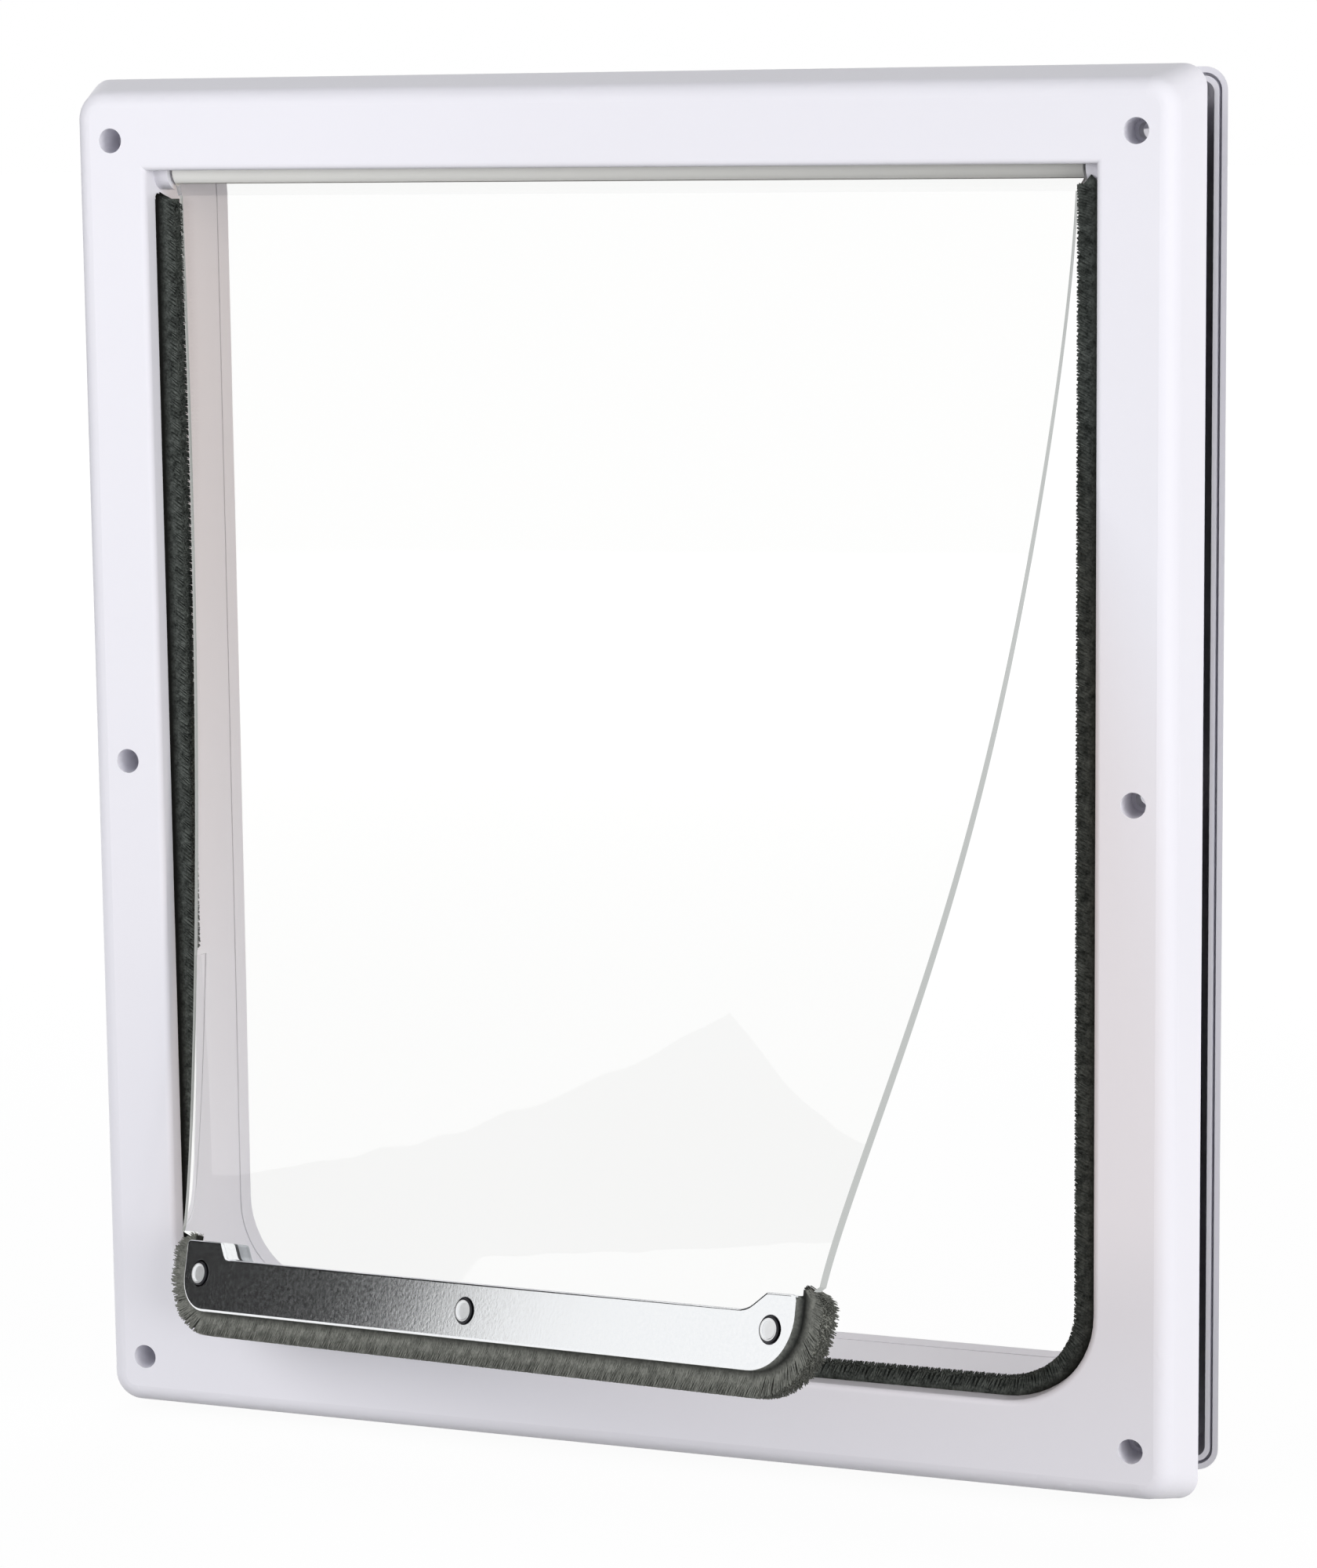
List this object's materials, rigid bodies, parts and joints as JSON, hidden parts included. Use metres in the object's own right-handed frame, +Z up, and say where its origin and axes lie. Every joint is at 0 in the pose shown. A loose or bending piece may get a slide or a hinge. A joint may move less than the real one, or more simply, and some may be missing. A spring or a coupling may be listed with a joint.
{
  "type": "dog flap",
  "caption": "White framed dog flap for a door, with a clear swinging sheet weighted by a riveted steel bar and sealed all round by pile strips.",
  "frame": {"origin": "centre of the corner screw holes, in the plane where the front frame's rear rim meets the door", "axes": "+X to the right seen from the front, +Y to the rear through the door, +Z up"},
  "size_m": [0.3064, 0.1675, 0.3638],
  "materials": {
    "white_plastic": "satin",
    "clear_sheet": "clear",
    "zinc_steel": "zinc plated",
    "rod_steel": "plain",
    "frame_pile": "cut pile",
    "bar_pile": "cut pile"
  },
  "bodies": {
    "frame": {"front_frame": "white_plastic", "rear_frame": "white_plastic", "hinge_rod": "rod_steel", "frame_pile_seal": "frame_pile"},
    "flap": {"flap_sheet": "clear_sheet", "bar_front_plate": "zinc_steel", "bar_rear_plate": "zinc_steel", "bar_pile_seal": "bar_pile", "rivet_left": "zinc_steel", "rivet_middle": "zinc_steel", "rivet_right": "zinc_steel"}
  },
  "joints": [
    {"name": "flap_swing", "type": "hinge", "parent": "frame", "child": "flap", "pos_m": [0, -0.006, 0.1577], "axis": [-1, 0, 0], "range_deg": [-85, 60], "stiffness_Nm_per_rad": 0.15, "springref_deg": 37.93}
  ]
}
